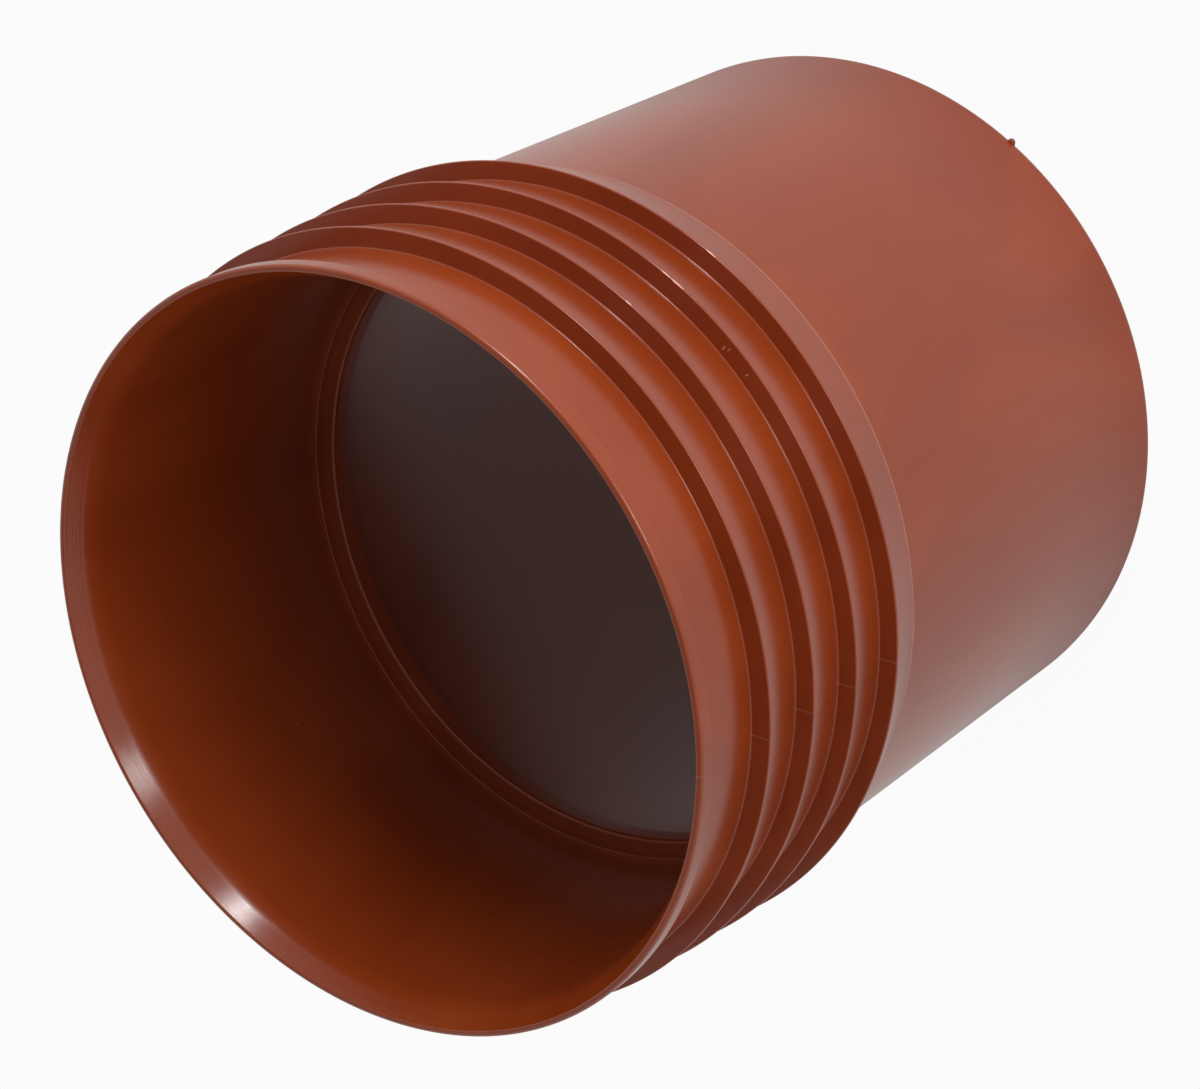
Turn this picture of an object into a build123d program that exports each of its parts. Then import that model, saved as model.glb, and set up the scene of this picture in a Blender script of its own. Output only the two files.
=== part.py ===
from build123d import *
import os

# A pipe transition fitting, moulded as one tube: a smooth plain end, and a
# ribbed end whose mouth is a socket. It stands on its plain end with the mouth
# up, and depths are measured down the pipe from the mouth. All sizes are in mm.

length = 123.0

# Plain end: a standard pipe end, with its outer edge rounded to slide into a seal
spigot_radius = 55.0
spigot_wall = 3.2
spigot_end_round = 2.2
spigot_inner_round = 0.5

# Socket inside the ribbed end: a lead-in chamfer, a straight wall, then a
# stepped shoulder and the ring that stops the pipe
socket_wall = 3.0
socket_depth = 52.0
lead_in_depth = 4.3
shoulder_width = 1.0
shoulder_step = 1.4
shoulder_fillet = 0.3
stop_ring_height = 3.3
stop_ring_thickness = 3.1
stop_ring_round = 0.7

# Mouth: a collar round the lip, with a thinner neck behind it
lip_wall = 2.8
lip_depth = 2.7
lip_round = 0.5
end_face_width = 0.9
neck_wall = 1.15
neck_fillet = 0.3

# Saw-tooth ribs: a square face towards the mouth and a long slope behind. The
# foot of each rib stands further out than the one before it.
rib_count = 4
first_rib_depth = 13.4
rib_pitch = 9.5
rib_height = 2.85
rib_crest_land = 0.35
rib_crest_round = 0.15
rib_foot_fillet = 0.25
first_foot_wall = 1.4
foot_growth = 0.59
last_slope_length = 9.35

# Radii and depths that follow from the sizes above
bore_radius = spigot_radius - spigot_wall
socket_radius = spigot_radius - socket_wall
shoulder_radius = socket_radius - shoulder_width
stop_ring_radius = socket_radius - stop_ring_height
lip_radius = socket_radius + lip_wall
neck_radius = socket_radius + neck_wall
first_foot_radius = socket_radius + first_foot_wall
ring_front = socket_depth + shoulder_step
ring_back = ring_front + stop_ring_thickness
slope_end = first_rib_depth + (rib_count - 1) * rib_pitch + last_slope_length


def rib_corners(number):
    """The foot of a rib's face, and the two edges of its crest, as (depth, radius)."""
    face = first_rib_depth + number * rib_pitch
    foot_radius = first_foot_radius + number * foot_growth
    crest_radius = foot_radius + rib_height
    return (face, foot_radius), (face, crest_radius), (face + rib_crest_land, crest_radius)


ribs = [rib_corners(number) for number in range(rib_count)]

# The wall's section: its X runs down the pipe's axis from the middle of the
# mouth, and its Y is the radius.
section_plane = Plane(origin=(0, 0, length), x_dir=(0, 0, -1), z_dir=(0, -1, 0))

with BuildPart() as transition_fitting:
    with BuildSketch(section_plane) as section:
        with BuildLine():
            Polyline(
                (0, lip_radius - end_face_width),
                (0, lip_radius),
                (lip_depth, lip_radius),
                (lip_depth, neck_radius),
                *[corner for rib in ribs for corner in rib],
                (slope_end, spigot_radius),
                (length, spigot_radius),
                (length, bore_radius),
                (ring_back, bore_radius),
                (ring_back, stop_ring_radius),
                (ring_front, stop_ring_radius),
                (ring_front, shoulder_radius),
                (socket_depth, shoulder_radius),
                (socket_depth, socket_radius),
                (lead_in_depth, socket_radius),
                close=True,
            )
        make_face()

        def round_corner(corner, size):
            fillet(section.vertices().sort_by_distance(corner)[0], size)

        round_corner((length, spigot_radius), spigot_end_round)
        round_corner((length, bore_radius), spigot_inner_round)
        round_corner((0, lip_radius), lip_round)
        round_corner((lip_depth, neck_radius), neck_fillet)
        round_corner((socket_depth, shoulder_radius), shoulder_fillet)
        round_corner((ring_front, stop_ring_radius), stop_ring_round)
        round_corner((ring_back, stop_ring_radius), stop_ring_round)
        for foot, crest_front, crest_back in ribs:
            round_corner(foot, rib_foot_fillet)
            round_corner(crest_front, rib_crest_round)
            round_corner(crest_back, rib_crest_round)
    revolve(axis=Axis.Z)

transition_fitting.part.label = "transition_fitting"

os.makedirs("parts", exist_ok=True)
export_step(transition_fitting.part, "parts/transition_fitting.step")
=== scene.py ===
"""The looks of a pipe transition fitting, moulded in one piece of red-brown sewer plastic.

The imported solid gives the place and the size. The body here is the same tube, turned
with a finer mesh, with the traces that its mould left on it.
"""
import logging
import math
from dataclasses import dataclass
from enum import Enum

import bpy
from mathutils import Matrix, Vector

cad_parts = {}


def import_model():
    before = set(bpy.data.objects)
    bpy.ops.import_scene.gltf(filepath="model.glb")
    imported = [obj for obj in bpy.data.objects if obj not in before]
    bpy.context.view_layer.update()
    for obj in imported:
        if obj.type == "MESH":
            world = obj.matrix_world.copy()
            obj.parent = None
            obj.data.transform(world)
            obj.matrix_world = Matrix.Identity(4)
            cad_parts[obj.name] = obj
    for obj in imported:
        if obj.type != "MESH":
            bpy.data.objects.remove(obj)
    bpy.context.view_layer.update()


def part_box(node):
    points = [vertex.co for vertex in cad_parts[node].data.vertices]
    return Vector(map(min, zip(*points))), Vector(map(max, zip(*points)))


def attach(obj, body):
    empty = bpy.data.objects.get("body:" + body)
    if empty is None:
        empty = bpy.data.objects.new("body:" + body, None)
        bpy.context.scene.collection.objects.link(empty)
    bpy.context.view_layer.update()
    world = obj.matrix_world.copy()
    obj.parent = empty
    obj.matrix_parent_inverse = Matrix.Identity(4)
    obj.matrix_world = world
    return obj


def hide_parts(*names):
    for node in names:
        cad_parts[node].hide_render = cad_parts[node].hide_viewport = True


LOG = logging.getLogger("transition_fitting")
NODE = "transition_fitting"
MM = 0.001
LAMP_AIM_SHARE = 0.9  # of the fitting's height, where the lamps point


def linear(hex_colour: str) -> tuple[float, float, float, float]:
    """Turn an sRGB colour into the linear one that the shaders take.

    Args:
        hex_colour: Six hexadecimal digits, red first.

    Returns:
        Red, green, blue and an alpha of one.
    """
    channels = [int(hex_colour[at : at + 2], 16) / 255 for at in (0, 2, 4)]
    curved = [c / 12.92 if c <= 0.04045 else ((c + 0.055) / 1.055) ** 2.4 for c in channels]
    return curved[0], curved[1], curved[2], 1.0


def add_node(tree: bpy.types.NodeTree, kind: str, links: dict | None = None, **settings) -> bpy.types.Node:
    """Add one shader node.

    Args:
        tree: The node tree that it joins.
        kind: Blender's type name of the node.
        links: What each input takes, by its name or number: an output socket or a value.
        settings: Properties of the node itself.

    Returns:
        The new node.
    """
    node = tree.nodes.new(kind)
    for name, value in settings.items():
        setattr(node, name, value)
    for name, value in (links or {}).items():
        if isinstance(value, bpy.types.NodeSocket):
            tree.links.new(value, node.inputs[name])
        else:
            node.inputs[name].default_value = value
    return node


class Finish(Enum):
    """The surfaces that the mould gave the plastic, by how deep its turning marks print."""

    POLISHED = 0.0
    LAPPED = 0.12
    TURNED = 0.6


@dataclass(frozen=True)
class Mark:
    """A small scuff, nick or speck on the surface.

    Attributes:
        depth: How far below the mouth it lies, in mm.
        bearing: Its direction round the pipe's axis, in degrees.
        radius: Its distance from the axis, in mm.
        along: Half its length down the pipe, in mm.
        round: Half its width round the pipe, in mm.
        deep: Half its extent towards and away from the axis, in mm.
        slant: How far it is turned out of the pipe's line, in degrees.
    """

    depth: float
    bearing: float
    radius: float
    along: float
    round: float
    deep: float = 0.3
    slant: float = 0.0


SCUFFS = (
    Mark(42.05, -65.7, 58.0, 0.16, 1.0, 0.14),
    Mark(32.55, -67.3, 57.4, 0.18, 1.3, 0.15),
    Mark(32.55, -65.2, 57.4, 0.14, 1.0, 0.10),
    Mark(23.05, -66.3, 56.85, 0.14, 0.6, 0.12),
    Mark(32.4, -77.6, 55.7, 0.3, 0.10, 0.45, 30.0),
    Mark(32.4, -78.3, 56.2, 0.3, 0.08, 0.35, -25.0),
    Mark(32.4, -82.4, 56.0, 0.3, 0.12, 0.30),
    Mark(117.5, -69.4, 55.0, 0.10, 1.2, 0.3, 12.0),
)
DARK_SPECKS = (
    Mark(27.8, -95.8, 56.0, 0.35, 0.30),
    Mark(30.5, -87.5, 55.6, 0.20, 0.20),
)


@dataclass(frozen=True)
class MouldedPlastic:
    """Unplasticised PVC, injection moulded and coloured red-brown right through.

    A polished mould leaves a smooth, softly mirroring skin, and turned parts of it leave
    fine rings. The colour swirls a little where the melt flowed, a few specks and scuffs
    catch the light, and a fine ridge shows where the two halves of the mould met. The
    ridge and the line round the pipe are painted lighter, a painted highlight.

    Attributes:
        name: The material's name.
        finish: How the mould's surface was made.
        length_mm: The fitting's length, from which depths below the mouth are measured.
        marked: Whether it carries the scuffs, the specks and the mould's two seams, with their painted
            highlight.
        streak_colour: The darker colour of the swirl.
        pale_colour: The lighter colour of the swirl.
        scuff_colour: The paler plastic of scuffs and nicks.
        dust_and_highlight_colour: The dust, and the painted highlight along the two seams.
        dark_colour: The dark specks.
        ior: The plastic's index of refraction.
        roughness: How dull the skin is in the middle of the swirl's range.
        turned_roughness: The same on the turned chamfer.
        smoother: How much less dull it gets at the swirl's low end.
        duller: How much duller it gets at the swirl's high end.
        flow_size_mm: The swirl's size.
        flow_stretch: The swirl's scale down the pipe, less than one to draw it out.
        flow_turn: How the swirl is turned out of the pipe's line, in radians.
        flow_distortion: How far the swirl is bent by itself.
        flow_range: The swirl's values that give the darker and the lighter colour.
        speck_spacing_mm: How far apart the cells lie that may hold a speck of dust.
        speck_edge: Where a speck ends and where it is full, as shares of that spacing.
        speck_rarity: The share of the cells that stay empty.
        ripple_size_mm: The size of the skin's slow ripples.
        ripple_strength: How strongly they show.
        ripple_height_mm: How high they are.
        grain_size_mm: The size of the skin's fine grain.
        grain_strength: How strongly it shows.
        grain_height_mm: How high it is.
        ring_size_mm: How far apart the turning marks lie.
        ring_waviness: How fast they vary round the pipe, per metre.
        ring_height_mm: How high they are.
        parting_bearing: Where the parting line runs, in degrees round the axis.
        parting_width_mm: Half the parting line's width, out to where it fades away.
        parting_core_mm: Half the width of its full middle.
        parting_rise: How far up a face has to point for the line to start and to be full.
        parting_elsewhere: How much of the line shows on all other faces.
        parting_highlight_share: How much of its colour the parting line shows.
        parting_height_mm: How high it stands.
        outside_mm: The radius beyond which a face counts as outside.
        seam_depth_mm: How far below the mouth the line round the pipe lies.
        seam_width_mm: Half the width of its band of painted highlight.
        seam_highlight_share: How much of its painted highlight it shows.
        mark_core: How much of a scuff or speck, from its middle, is full.
    """

    name: str
    finish: Finish
    length_mm: float
    marked: bool = False
    streak_colour: str = "8a3612"
    pale_colour: str = "963e18"
    scuff_colour: str = "cf957c"
    dust_and_highlight_colour: str = "c08a70"
    dark_colour: str = "3a140a"
    ior: float = 1.54
    roughness: float = 0.24
    turned_roughness: float = 0.16
    smoother: float = 0.03
    duller: float = 0.05
    flow_size_mm: float = 32.0
    flow_stretch: float = 0.45
    flow_turn: tuple[float, float, float] = (0.5, 0.3, 0.0)
    flow_distortion: float = 1.1
    flow_range: tuple[float, float] = (0.35, 0.68)
    speck_spacing_mm: float = 2.6
    speck_edge: tuple[float, float] = (0.055, 0.03)
    speck_rarity: float = 0.86
    ripple_size_mm: float = 9.0
    ripple_strength: float = 0.25
    ripple_height_mm: float = 0.03
    grain_size_mm: float = 0.35
    grain_strength: float = 0.12
    grain_height_mm: float = 0.01
    ring_size_mm: float = 0.11
    ring_waviness: float = 6.0
    ring_height_mm: float = 0.03
    parting_bearing: float = -127.8
    parting_width_mm: float = 0.16
    parting_core_mm: float = 0.03
    # parting_rise: How far up a face has to point for the line and its painted highlight to start and to be
    # full.
    parting_rise: tuple[float, float] = (0.5, 0.9)
    parting_elsewhere: float = 0.1
    # parting_highlight_share: How much of its painted highlight the parting line shows.
    parting_highlight_share: float = 0.22
    parting_height_mm: float = 0.04
    outside_mm: float = 53.3
    seam_depth_mm: float = 51.3
    seam_width_mm: float = 0.22
    seam_highlight_share: float = 0.45
    mark_core: float = 0.7

    def build(self) -> bpy.types.Material:
        """Make the material.

        Returns:
            The finished material.
        """
        material = bpy.data.materials.new(self.name)
        material.use_nodes = True
        tree = material.node_tree
        tree.nodes.clear()
        place = add_node(tree, "ShaderNodeTexCoord").outputs["Object"]
        flow = self._flow(tree, place)
        parting = self._parting(tree, place) if self.marked else None
        colour = self._colour(tree, place, flow, parting)
        rough = self.turned_roughness if self.finish is Finish.TURNED else self.roughness
        gloss = add_node(
            tree,
            "ShaderNodeMapRange",
            {"Value": flow, "To Min": rough - self.smoother, "To Max": rough + self.duller},
        ).outputs[0]
        shader = add_node(
            tree,
            "ShaderNodeBsdfPrincipled",
            {
                "Base Color": colour,
                "Roughness": gloss,
                "Normal": self._relief(tree, place, parting),
                "IOR": self.ior,
            },
        )
        add_node(tree, "ShaderNodeOutputMaterial", {"Surface": shader.outputs[0]})
        return material

    def _flow(self, tree: bpy.types.NodeTree, place: bpy.types.NodeSocket) -> bpy.types.NodeSocket:
        """Give the slow swirl of the melt, drawn out along the pipe.

        Args:
            tree: The node tree.
            place: Where the shaded point lies.

        Returns:
            The swirl's value, from zero to one.
        """
        stretched = add_node(
            tree,
            "ShaderNodeMapping",
            {"Vector": place, "Scale": (1.0, 1.0, self.flow_stretch), "Rotation": self.flow_turn},
        ).outputs[0]
        return add_node(
            tree,
            "ShaderNodeTexNoise",
            {
                "Vector": stretched,
                "Scale": 1 / (self.flow_size_mm * MM),
                "Detail": 2.0,
                "Distortion": self.flow_distortion,
            },
        ).outputs[0]

    def _parting(self, tree: bpy.types.NodeTree, place: bpy.types.NodeSocket) -> bpy.types.NodeSocket:
        """Mask the line where the mould's halves met, which shows most on the ribs' square faces.

        Args:
            tree: The node tree.
            place: Where the shaded point lies.

        Returns:
            One on the line and zero away from it.
        """
        turned = add_node(
            tree,
            "ShaderNodeVectorRotate",
            {"Vector": place, "Angle": math.radians(-self.parting_bearing)},
            rotation_type="Z_AXIS",
        ).outputs[0]
        split = add_node(tree, "ShaderNodeSeparateXYZ", {0: turned})
        aside = add_node(tree, "ShaderNodeMath", {0: split.outputs["Y"]}, operation="ABSOLUTE").outputs[0]
        line = add_node(
            tree,
            "ShaderNodeMapRange",
            {
                "Value": aside,
                "From Min": self.parting_width_mm * MM,
                "From Max": self.parting_core_mm * MM,
            },
        ).outputs[0]
        outside = add_node(
            tree, "ShaderNodeMath", {0: split.outputs["X"], 1: self.outside_mm * MM}, operation="GREATER_THAN"
        ).outputs[0]
        facing = add_node(tree, "ShaderNodeNewGeometry").outputs["Normal"]
        upward = add_node(tree, "ShaderNodeSeparateXYZ", {0: facing}).outputs["Z"]
        # Faces that point up show the ridge and its painted highlight in full, as the side that catches the
        # light.
        square = add_node(
            tree,
            "ShaderNodeMapRange",
            {
                "Value": upward,
                "From Min": self.parting_rise[0],
                "From Max": self.parting_rise[1],
                "To Min": self.parting_elsewhere,
            },
        ).outputs[0]
        shown = add_node(tree, "ShaderNodeMath", {0: line, 1: outside}, operation="MULTIPLY").outputs[0]
        return add_node(tree, "ShaderNodeMath", {0: shown, 1: square}, operation="MULTIPLY").outputs[0]

    def _spots(
        self, tree: bpy.types.NodeTree, place: bpy.types.NodeSocket, marks: tuple[Mark, ...]
    ) -> bpy.types.NodeSocket:
        """Mask the given marks.

        Args:
            tree: The node tree.
            place: Where the shaded point lies.
            marks: The marks to show.

        Returns:
            One inside a mark and zero outside.
        """
        total = None
        for mark in marks:
            bearing = math.radians(mark.bearing)
            centre = (
                mark.radius * math.cos(bearing) * MM,
                mark.radius * math.sin(bearing) * MM,
                (self.length_mm - mark.depth) * MM,
            )
            local = add_node(
                tree,
                "ShaderNodeMapping",
                {
                    "Vector": place,
                    "Location": centre,
                    "Rotation": (math.radians(mark.slant), 0.0, bearing),
                    "Scale": (mark.deep * MM, mark.round * MM, mark.along * MM),
                },
                vector_type="TEXTURE",
            ).outputs[0]
            away = add_node(tree, "ShaderNodeVectorMath", {0: local}, operation="LENGTH").outputs["Value"]
            spot = add_node(
                tree, "ShaderNodeMapRange", {"Value": away, "From Min": 1.0, "From Max": self.mark_core}
            ).outputs[0]
            if total is None:
                total = spot
            else:
                total = add_node(tree, "ShaderNodeMath", {0: total, 1: spot}, operation="MAXIMUM").outputs[0]
        return total

    def _colour(
        self,
        tree: bpy.types.NodeTree,
        place: bpy.types.NodeSocket,
        flow: bpy.types.NodeSocket,
        parting: bpy.types.NodeSocket | None,
    ) -> bpy.types.NodeSocket:
        """Mix the plastic's colour from its swirl, dust, seams, specks and scuffs.

        Args:
            tree: The node tree.
            place: Where the shaded point lies.
            flow: The swirl's value.
            parting: The parting line's value, where the surface is marked.

        Returns:
            The colour.
        """
        swirl = add_node(
            tree,
            "ShaderNodeMapRange",
            {"Value": flow, "From Min": self.flow_range[0], "From Max": self.flow_range[1]},
        ).outputs[0]
        cells = add_node(
            tree, "ShaderNodeTexVoronoi", {"Vector": place, "Scale": 1 / (self.speck_spacing_mm * MM)}
        )
        near = add_node(
            tree,
            "ShaderNodeMapRange",
            {
                "Value": cells.outputs["Distance"],
                "From Min": self.speck_edge[0],
                "From Max": self.speck_edge[1],
            },
        ).outputs[0]
        rare = add_node(
            tree,
            "ShaderNodeMath",
            {0: cells.outputs["Color"], 1: self.speck_rarity},
            operation="GREATER_THAN",
        ).outputs[0]
        dust = add_node(tree, "ShaderNodeMath", {0: near, 1: rare}, operation="MULTIPLY").outputs[0]
        layers = [(swirl, self.pale_colour), (dust, self.dust_and_highlight_colour)]
        if self.marked:
            # The parting ridge is painted lighter: a painted highlight, strongest on faces that point up.
            ridge = add_node(
                tree, "ShaderNodeMath", {0: parting, 1: self.parting_highlight_share}, operation="MULTIPLY"
            ).outputs[0]
            height = add_node(tree, "ShaderNodeSeparateXYZ", {0: place}).outputs["Z"]
            # The line round the pipe is painted lighter too: a band of painted highlight along its bead.
            seam_height = (self.length_mm - self.seam_depth_mm) * MM
            seam = add_node(
                tree,
                "ShaderNodeMath",
                {0: height, 1: seam_height, 2: self.seam_width_mm * MM},
                operation="COMPARE",
            ).outputs[0]
            seam_highlight = add_node(
                tree, "ShaderNodeMath", {0: seam, 1: self.seam_highlight_share}, operation="MULTIPLY"
            ).outputs[0]
            layers += [
                (ridge, self.dust_and_highlight_colour),
                (seam_highlight, self.dust_and_highlight_colour),
                (self._spots(tree, place, DARK_SPECKS), self.dark_colour),
                (self._spots(tree, place, SCUFFS), self.scuff_colour),
            ]
        colour = linear(self.streak_colour)
        for share, tint in layers:
            colour = add_node(
                tree, "ShaderNodeMix", {0: share, 6: colour, 7: linear(tint)}, data_type="RGBA"
            ).outputs[2]
        return colour

    def _relief(
        self, tree: bpy.types.NodeTree, place: bpy.types.NodeSocket, parting: bpy.types.NodeSocket | None
    ) -> bpy.types.NodeSocket:
        """Shape the skin's ripples, grain, parting ridge and turning marks.

        Args:
            tree: The node tree.
            place: Where the shaded point lies.
            parting: The parting line's value, where the surface is marked.

        Returns:
            The normal.
        """
        ripple = add_node(
            tree,
            "ShaderNodeTexNoise",
            {"Vector": place, "Scale": 1 / (self.ripple_size_mm * MM), "Detail": 0.0},
        ).outputs[0]
        normal = add_node(
            tree,
            "ShaderNodeBump",
            {
                "Height": ripple,
                "Strength": self.ripple_strength,
                "Distance": self.ripple_height_mm * MM,
            },
        ).outputs[0]
        grain = add_node(
            tree,
            "ShaderNodeTexNoise",
            {"Vector": place, "Scale": 1 / (self.grain_size_mm * MM), "Detail": 0.0},
        ).outputs[0]
        normal = add_node(
            tree,
            "ShaderNodeBump",
            {
                "Height": grain,
                "Strength": self.grain_strength,
                "Distance": self.grain_height_mm * MM,
                "Normal": normal,
            },
        ).outputs[0]
        if parting is not None:
            normal = add_node(
                tree,
                "ShaderNodeBump",
                {
                    "Height": parting,
                    "Strength": 1.0,
                    "Distance": self.parting_height_mm * MM,
                    "Normal": normal,
                },
            ).outputs[0]
        if self.finish is Finish.POLISHED:
            return normal
        rings = add_node(
            tree,
            "ShaderNodeMapping",
            {
                "Vector": place,
                "Scale": (self.ring_waviness, self.ring_waviness, 1 / (self.ring_size_mm * MM)),
            },
        ).outputs[0]
        marks = add_node(
            tree, "ShaderNodeTexNoise", {"Vector": rings, "Scale": 1.0, "Detail": 2.0}
        ).outputs[0]
        return add_node(
            tree,
            "ShaderNodeBump",
            {
                "Height": marks,
                "Strength": self.finish.value,
                "Distance": self.ring_height_mm * MM,
                "Normal": normal,
            },
        ).outputs[0]


@dataclass(frozen=True)
class Corner:
    """One corner of the wall's section.

    Attributes:
        depth: How far below the mouth it lies, in mm.
        radius: Its distance from the pipe's axis, in mm.
        rounding: The radius that the corner is rounded to, in mm, or zero.
        steps: Into how many facets the rounding is divided.
    """

    depth: float
    radius: float
    rounding: float = 0.0
    steps: int = 4


@dataclass
class TubeBody:
    """The moulded tube: plain end, ribs, mouth, socket, stop ring and bore.

    Sizes are in mm, and depths are measured down from the mouth.

    Attributes:
        length: From the mouth to the plain end's edge.
        spigot_radius: The plain end's outside.
        bore_radius: The bore behind the stop ring.
        socket_radius: The socket's straight wall.
        socket_depth: How deep that wall goes.
        lead_in_depth: How deep the mouth's chamfer goes.
        shoulder_radius: The step between the socket and the stop ring.
        ring_front: The depth of the stop ring's face.
        ring_back: The depth of its back.
        ring_radius: The ring's inner edge.
        lip_radius: The outside of the collar round the mouth.
        lip_depth: The collar's depth.
        lip_face: The width of the mouth's flat end face.
        neck_radius: The outside of the neck behind the collar.
        rib_count: How many ribs there are.
        first_rib: The depth of the first rib's square face.
        rib_pitch: How far apart the ribs are.
        rib_height: How far a crest stands above its foot.
        rib_land: The width of a crest's flat.
        foot_radius: The first rib's foot.
        foot_growth: How much further out each next foot stands.
        slope_end: The depth at which the last rib's slope ends.
        seam_height: The height of the bead along the line round the pipe.
        seam_start: How far above the slope's end the bead starts.
        seam_back: How far below it the bead's back edge lies.
        seam_end: How far below it the bead ends.
        near_seam: How close to a seam a face has to lie to carry it.
        near_mark: The same for a scuff or a speck.
        turned_from: The depth at which the chamfer's turning marks start.
        turned_margin: How far above the chamfer's end they stop.
        nub_bearing: Where the nub is, in degrees round the axis.
        nub_height: How far above the plain end's edge it sits.
        nub_inset: How far inside the plain end's outside its middle lies.
        nub_half_sizes: Its half sizes, outwards, round the pipe and along it.
        nub_turn: How it is turned out of line, in radians.
        around: Into how many facets the circle is divided.
        smooth_angle: The angle, in degrees, up to which edges are shaded smooth.
        match_margin: How close a vertex has to lie to a corner to belong to it.
    """

    length: float = 123.0
    spigot_radius: float = 55.0
    bore_radius: float = 51.8
    socket_radius: float = 52.0
    socket_depth: float = 52.0
    lead_in_depth: float = 4.3
    shoulder_radius: float = 51.0
    ring_front: float = 53.4
    ring_back: float = 56.5
    ring_radius: float = 48.7
    lip_radius: float = 54.8
    lip_depth: float = 2.7
    lip_face: float = 0.9
    neck_radius: float = 53.15
    rib_count: int = 4
    first_rib: float = 13.4
    rib_pitch: float = 9.5
    rib_height: float = 2.85
    rib_land: float = 0.35
    foot_radius: float = 53.4
    foot_growth: float = 0.59
    slope_end: float = 51.25
    seam_height: float = 0.06
    seam_start: float = 0.12
    seam_back: float = 0.1
    seam_end: float = 0.14
    near_seam: float = 1.2
    near_mark: float = 2.4
    turned_from: float = 0.3
    turned_margin: float = 1.6
    nub_bearing: float = -69.05
    nub_height: float = 1.3
    nub_inset: float = 0.75
    nub_half_sizes: tuple[float, float, float] = (1.5, 0.75, 0.65)
    nub_turn: tuple[float, float] = (0.3, -0.25)
    around: int = 384
    smooth_angle: float = 40.0
    match_margin: float = 0.002

    def corners(self) -> list[Corner]:
        """List the section's corners, from the lip's inner edge out, down and back up inside."""
        path = [
            Corner(0.0, self.lip_radius - self.lip_face, rounding=0.25, steps=3),
            Corner(0.0, self.lip_radius, rounding=0.5, steps=4),
            Corner(self.lip_depth, self.lip_radius, rounding=0.2, steps=3),
            Corner(self.lip_depth, self.neck_radius, rounding=0.3, steps=3),
        ]
        for number in range(self.rib_count):
            face = self.first_rib + number * self.rib_pitch
            foot = self.foot_radius + number * self.foot_growth
            crest = foot + self.rib_height
            path.append(Corner(face, foot, rounding=0.25, steps=3))
            path.append(Corner(face, crest, rounding=0.17, steps=3))
            path.append(Corner(face + self.rib_land, crest, rounding=0.3, steps=3))
        seam = self.spigot_radius + self.seam_height
        path += [
            Corner(self.slope_end - self.seam_start, seam),
            Corner(self.slope_end + self.seam_back, seam, rounding=0.05, steps=2),
            Corner(self.slope_end + self.seam_end, self.spigot_radius),
            Corner(self.length, self.spigot_radius, rounding=2.2, steps=8),
            Corner(self.length, self.bore_radius, rounding=0.5, steps=4),
            Corner(self.ring_back, self.bore_radius, rounding=0.3, steps=3),
            Corner(self.ring_back, self.ring_radius),
            Corner(self.ring_front, self.ring_radius, rounding=0.6, steps=6),
            Corner(self.ring_front, self.shoulder_radius),
            Corner(self.socket_depth, self.shoulder_radius, rounding=0.2, steps=3),
            Corner(self.socket_depth, self.socket_radius),
            Corner(self.lead_in_depth, self.socket_radius, rounding=8.0, steps=7),
        ]
        return path

    def build(self) -> bpy.types.Object:
        """Model the tube.

        Returns:
            The closed mesh object, at the origin.
        """
        path = self.corners()
        start = path[0]
        bpy.ops.object.select_all(action="DESELECT")
        bpy.ops.mesh.primitive_circle_add(
            vertices=self.around,
            radius=start.radius * MM,
            location=(0, 0, (self.length - start.depth) * MM),
        )
        body = bpy.context.object
        body.name = "moulded_body"
        bpy.ops.object.transform_apply(location=True)
        bpy.ops.object.mode_set(mode="EDIT")
        bpy.ops.mesh.select_all(action="SELECT")
        here = start
        for corner in path[1:]:
            bpy.ops.mesh.extrude_region_move()
            widen = corner.radius / here.radius
            bpy.ops.transform.resize(value=(widen, widen, 1.0), center_override=(0, 0, 0))
            bpy.ops.transform.translate(value=(0, 0, (here.depth - corner.depth) * MM))
            here = corner
        bpy.ops.mesh.select_all(action="DESELECT")
        bpy.ops.mesh.select_mode(type="EDGE")
        bpy.ops.mesh.select_non_manifold()
        bpy.ops.mesh.bridge_edge_loops()
        for corner in path:
            if corner.rounding:
                self._round(body, corner, path)
        bpy.ops.mesh.select_all(action="SELECT")
        bpy.ops.mesh.normals_make_consistent(inside=False)
        bpy.ops.object.mode_set(mode="OBJECT")
        bpy.ops.object.shade_smooth_by_angle(angle=math.radians(self.smooth_angle))
        weigh = body.modifiers.new("weigh", "WEIGHTED_NORMAL")
        weigh.keep_sharp = True
        bpy.ops.object.modifier_apply(modifier=weigh.name)
        self._nub(body)
        return body

    def finish_at(self, depth: float, radius: float, inward: bool) -> Finish:
        """Name the finish of the surface at one place.

        Args:
            depth: Its distance below the mouth, in mm.
            radius: Its distance from the axis, in mm; not used.
            inward: Whether it faces the axis.

        Returns:
            The finish that the mould had there.
        """
        if not inward or depth > self.socket_depth:
            return Finish.POLISHED
        chamfer = self.turned_from < depth < self.lead_in_depth - self.turned_margin
        return Finish.TURNED if chamfer else Finish.LAPPED

    def dress(self, body: bpy.types.Object) -> None:
        """Give every face of the tube the finish and the marks that its place calls for.

        Args:
            body: The tube.
        """
        for finish in Finish:
            name = f"moulded_red_brown_pvc_{finish.name.lower()}"
            body.data.materials.append(MouldedPlastic(name, finish, self.length).build())
        # The marked material holds real scuffs and specks, and the painted highlight along the two seams.
        marked = MouldedPlastic("moulded_red_brown_pvc_marked_highlit", Finish.POLISHED, self.length, True)
        body.data.materials.append(marked.build())
        order = list(Finish)
        for face in body.data.polygons:
            centre = face.center
            radius = math.hypot(centre.x, centre.y) / MM
            inward = face.normal.x * centre.x + face.normal.y * centre.y < 0
            depth = self.length - centre.z / MM
            bearing = math.degrees(math.atan2(centre.y, centre.x))
            face.material_index = order.index(self.finish_at(depth, radius, inward))
            if radius > marked.outside_mm and self.is_marked(depth, bearing, marked):
                face.material_index = len(order)

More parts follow.
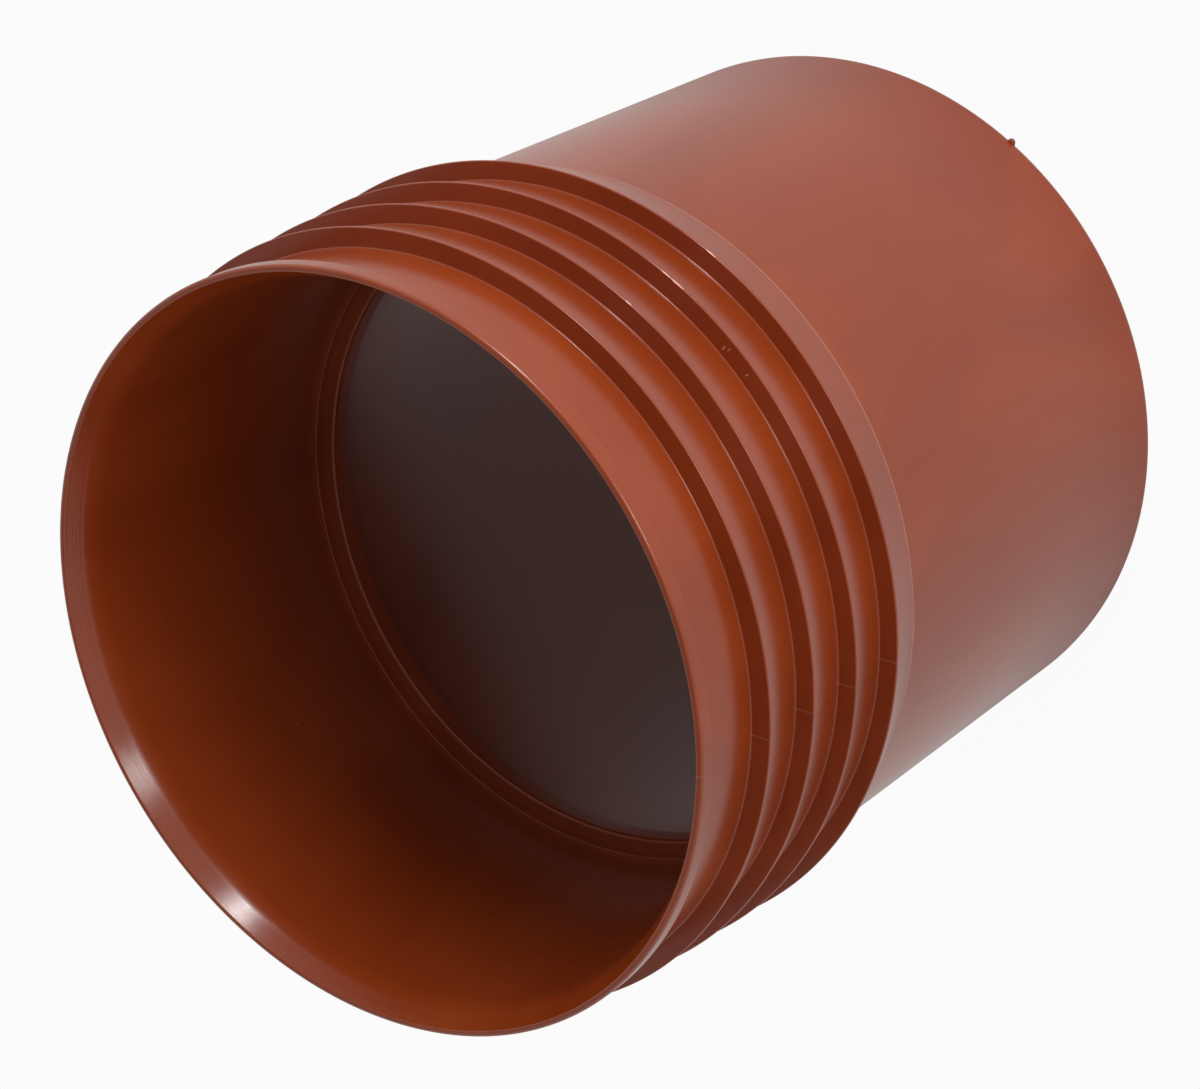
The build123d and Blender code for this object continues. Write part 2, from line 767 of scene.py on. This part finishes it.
    def is_marked(self, depth: float, bearing: float, plastic: MouldedPlastic) -> bool:
        """Say whether a place outside carries a mark or a seam.

        Args:
            depth: Its distance below the mouth, in mm.
            bearing: Its direction round the axis, in degrees.
            plastic: The marked material, which knows where the seams are.

        Returns:
            True close to a mark or a seam.
        """
        degree = math.radians(1) * self.spigot_radius
        if abs(depth - plastic.seam_depth_mm) < self.near_seam:
            return True
        if abs(bearing - plastic.parting_bearing) * degree < self.near_seam:
            return True
        return any(
            abs(depth - mark.depth) < self.near_mark and abs(bearing - mark.bearing) * degree < self.near_mark
            for mark in SCUFFS + DARK_SPECKS
        )

    def _nub(self, body: bpy.types.Object) -> None:
        """Leave the small nub of waste plastic on the plain end's rounded edge.

        Args:
            body: The tube, which the nub is joined to.
        """
        bpy.ops.object.select_all(action="DESELECT")
        bearing = math.radians(self.nub_bearing)
        radius = (self.spigot_radius - self.nub_inset) * MM
        bpy.ops.mesh.primitive_uv_sphere_add(
            segments=20,
            ring_count=12,
            radius=1.0,
            location=(radius * math.cos(bearing), radius * math.sin(bearing), self.nub_height * MM),
        )
        nub = bpy.context.object
        nub.name = "nub"
        nub.scale = tuple(size * MM for size in self.nub_half_sizes)
        nub.rotation_euler = (*self.nub_turn, bearing)
        bpy.ops.object.transform_apply(location=True, rotation=True, scale=True)
        bpy.ops.object.shade_smooth()
        body.select_set(True)
        bpy.context.view_layer.objects.active = body
        bpy.ops.object.join()

    def _round(self, body: bpy.types.Object, corner: Corner, path: list[Corner]) -> None:
        """Round one corner all the way round the tube.

        Args:
            body: The tube, in edit mode.
            corner: The corner to round.
            path: The whole section, for the corner's neighbours.
        """
        index = path.index(corner)
        before = path[index - 1]
        after = path[(index + 1) % len(path)]
        towards = Vector((corner.depth - before.depth, corner.radius - before.radius))
        away = Vector((after.depth - corner.depth, after.radius - corner.radius))
        turn = towards.angle(away)
        setback = corner.rounding * math.tan(turn / 2)
        bpy.ops.object.mode_set(mode="OBJECT")
        height = (self.length - corner.depth) * MM
        close = self.match_margin * MM
        mesh = body.data
        near = {
            v.index
            for v in mesh.vertices
            if abs(v.co.z - height) < close and abs(math.hypot(v.co.x, v.co.y) - corner.radius * MM) < close
        }
        for face in mesh.polygons:
            face.select = False
        for vertex in mesh.vertices:
            vertex.select = False
        for edge in mesh.edges:
            edge.select = edge.vertices[0] in near and edge.vertices[1] in near
        bpy.ops.object.mode_set(mode="EDIT")
        bpy.ops.mesh.bevel(
            offset=setback * MM, offset_type="OFFSET", segments=corner.steps, profile=0.5, affect="EDGES"
        )


@dataclass(frozen=True)
class SoftLamp:
    """A rectangular soft box that faces the fitting.

    Attributes:
        name: The lamp's name.
        direction: Where it hangs, as seen from the fitting.
        distance: How far away, in metres.
        width: Its width across, in metres.
        height: Its height, in metres.
        watts: Its power.
    """

    name: str
    direction: tuple[float, float, float]
    distance: float
    width: float
    height: float
    watts: float

    def hang(self, target: Vector) -> None:
        """Add the lamp, facing the target.

        Args:
            target: The point that it faces.
        """
        data = bpy.data.lights.new(self.name, "AREA")
        data.shape = "RECTANGLE"
        data.size = self.width
        data.size_y = self.height
        data.energy = self.watts
        lamp = bpy.data.objects.new(self.name, data)
        bpy.context.scene.collection.objects.link(lamp)
        way = Vector(self.direction).normalized()
        lamp.location = target + way * self.distance
        lamp.rotation_euler = way.to_track_quat("Z", "Y").to_euler()
        lamp.visible_camera = False


LAMPS = (
    SoftLamp("key", (0.66, -0.74, 0.10), 0.9, 0.05, 0.40, 3.1),
    SoftLamp("fill", (-0.06, -0.98, 0.15), 0.9, 0.14, 0.40, 1.7),
)


@dataclass
class Studio:
    """A pale floor, soft light and a view fitted to the fitting's circles in the photograph.

    The view holds well for the mouth and the ribs. Its perspective is stronger than the
    photograph's along the plain end, whose sides close in too fast.

    Attributes:
        photo_width: The photograph's width in pixels.
        photo_height: Its height in pixels.
        mouth_pixel: Where the middle of the mouth shows in the photograph.
        mouth_distance: How far the mouth's middle is in front of the lens, in metres, as fitted.
        pixels_per_tangent: The fitted focal length, in pixels of the photograph.
        sensor_width: The camera's sensor width in millimetres.
        nearest: The nearest distance that the camera shows, in metres.
        look_down: How steeply the camera looks down, in degrees.
        roll: How far the camera is turned about its view line, in degrees.
        floor_size: The floor's width, in metres.
        paper_colour: The floor's own colour.
        camera_share: How much of the floor is plain white where the camera sees it.
        mirrored_share: The same in a mirror ray, away from the fitting.
        bore_share: The same in a mirror ray, on the lit patch under the bore.
        foot_radius: Where that share starts to grow, in metres, just inside the foot.
        foot_fade: Where it is full, as a multiple of that radius.
        lit_centre: The middle of the lit patch, in metres.
        lit_radius: The lit patch's full radius, in metres.
        lit_fade: Where the patch has faded away, as a multiple of its radius.
        horizon_strength: The world's strength towards the horizon.
        zenith_strength: Its strength straight overhead.
        horizon_rise: The upward part of a direction at which the strength starts to fall.
        zenith_rise: The upward part at which it has fallen fully.
    """

    photo_width: float = 1200.0
    photo_height: float = 1089.0
    mouth_pixel: tuple[float, float] = (359.1, 663.5)
    mouth_distance: float = 0.4311
    pixels_per_tangent: float = 3241.3
    sensor_width: float = 36.0
    nearest: float = 0.01
    look_down: float = 48.114
    roll: float = -119.743
    floor_size: float = 6.0
    paper_colour: str = "e4e4e4"
    camera_share: float = 0.94
    mirrored_share: float = 0.5
    bore_share: float = 0.36
    foot_radius: float = 0.051
    foot_fade: float = 1.35
    lit_centre: tuple[float, float, float] = (0.003, 0.030, 0.0)
    lit_radius: float = 0.021
    lit_fade: float = 1.5
    horizon_strength: float = 0.87
    zenith_strength: float = 0.2
    horizon_rise: float = 0.3
    zenith_rise: float = 0.95

    def camera(self, mouth: Vector) -> None:
        """Place the camera so that the mouth falls where the photograph has it.

        Args:
            mouth: The middle of the mouth, in metres.
        """
        data = bpy.data.cameras.new("camera")
        data.sensor_width = self.sensor_width
        data.lens = self.pixels_per_tangent * self.sensor_width / self.photo_width
        data.clip_start = self.nearest
        camera = bpy.data.objects.new("camera", data)
        bpy.context.scene.collection.objects.link(camera)
        tilt = Matrix.Rotation(math.radians(90 - self.look_down), 3, "X")
        turn = tilt @ Matrix.Rotation(math.radians(self.roll), 3, "Z")
        right, up, back = turn.col
        scale = self.mouth_distance / self.pixels_per_tangent
        across = (self.mouth_pixel[0] - self.photo_width / 2) * scale
        below = (self.mouth_pixel[1] - self.photo_height / 2) * scale
        eye = mouth - right * across + up * below + back * self.mouth_distance
        camera.matrix_world = Matrix.Translation(eye) @ turn.to_4x4()
        bpy.context.scene.camera = camera

    def floor(self) -> None:
        """Lay a wide pale floor that shows white and keeps a soft shadow."""
        bpy.ops.object.select_all(action="DESELECT")
        bpy.ops.mesh.primitive_plane_add(size=self.floor_size)
        floor = bpy.context.object
        floor.name = "floor"
        material = bpy.data.materials.new("pale_paper")
        material.use_nodes = True
        tree = material.node_tree
        tree.nodes.clear()
        paper = add_node(tree, "ShaderNodeBsdfDiffuse", {"Color": linear(self.paper_colour)}).outputs[0]
        white = add_node(tree, "ShaderNodeEmission", {"Color": (1, 1, 1, 1), "Strength": 1.0}).outputs[0]
        rays = add_node(tree, "ShaderNodeLightPath")
        direct = add_node(
            tree,
            "ShaderNodeMath",
            {0: rays.outputs["Is Camera Ray"], 1: self.camera_share},
            operation="MULTIPLY",
        ).outputs[0]
        bounced = add_node(
            tree,
            "ShaderNodeMath",
            {0: rays.outputs["Is Glossy Ray"], 1: rays.outputs["Is Transmission Ray"]},
            operation="MAXIMUM",
        ).outputs[0]
        mirrored = add_node(
            tree, "ShaderNodeMath", {0: bounced, 1: self._unshadowed(tree)}, operation="MULTIPLY"
        ).outputs[0]
        share = add_node(tree, "ShaderNodeMath", {0: direct, 1: mirrored}, operation="MAXIMUM").outputs[0]
        mixed = add_node(tree, "ShaderNodeMixShader", {0: share, 1: paper, 2: white}).outputs[0]
        add_node(tree, "ShaderNodeOutputMaterial", {"Surface": mixed})
        floor.data.materials.append(material)

    def _unshadowed(self, tree: bpy.types.NodeTree) -> bpy.types.NodeSocket:
        """Give the floor's share of plain white in mirror rays, less in the fitting's own shadow.

        Args:
            tree: The floor's node tree.

        Returns:
            The share: it grows from just inside the foot outwards, and one side under the
            bore is lit.
        """
        place = add_node(tree, "ShaderNodeTexCoord").outputs["Object"]
        shares = []
        for centre, start, end, share in (
            ((0.0, 0.0, 0.0), self.foot_radius, self.foot_radius * self.foot_fade, self.mirrored_share),
            (self.lit_centre, self.lit_radius * self.lit_fade, self.lit_radius, self.bore_share),
        ):
            away = add_node(
                tree, "ShaderNodeVectorMath", {0: place, 1: centre}, operation="DISTANCE"
            ).outputs["Value"]
            shares.append(
                add_node(
                    tree,
                    "ShaderNodeMapRange",
                    {"Value": away, "From Min": start, "From Max": end, "To Max": share},
                ).outputs[0]
            )
        return add_node(tree, "ShaderNodeMath", {0: shares[0], 1: shares[1]}, operation="MAXIMUM").outputs[0]

    def light(self, target: Vector) -> None:
        """Hang the soft lamps and give the world its even light, dimmer straight overhead.

        Args:
            target: The point that the lamps face.
        """
        world = bpy.data.worlds.new("studio")
        bpy.context.scene.world = world
        world.use_nodes = True
        tree = world.node_tree
        tree.nodes.clear()
        towards = add_node(tree, "ShaderNodeTexCoord").outputs["Generated"]
        rise = add_node(tree, "ShaderNodeSeparateXYZ", {0: towards}).outputs["Z"]
        strength = add_node(
            tree,
            "ShaderNodeMapRange",
            {
                "Value": rise,
                "From Min": self.horizon_rise,
                "From Max": self.zenith_rise,
                "To Min": self.horizon_strength,
                "To Max": self.zenith_strength,
            },
        ).outputs[0]
        back = add_node(tree, "ShaderNodeBackground", {"Color": (1, 1, 1, 1), "Strength": strength})
        add_node(tree, "ShaderNodeOutputWorld", {"Surface": back.outputs[0]})
        for lamp in LAMPS:
            lamp.hang(target)


def main() -> None:
    """Build the fitting, dress it, and set up the studio."""
    logging.basicConfig(level=logging.INFO, format="%(message)s")
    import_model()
    low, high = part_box(NODE)
    tube = TubeBody(length=(high.z - low.z) / MM)
    body = tube.build()
    tube.dress(body)
    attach(body, "root")
    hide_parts(NODE)
    LOG.info("%s: %d faces", body.name, len(body.data.polygons))
    studio = Studio()
    studio.camera(Vector((0, 0, high.z)))
    studio.floor()
    studio.light(Vector((0, 0, high.z * LAMP_AIM_SHARE)))
    bpy.context.scene.view_settings.view_transform = "Standard"


if __name__ == "__main__":
    main()
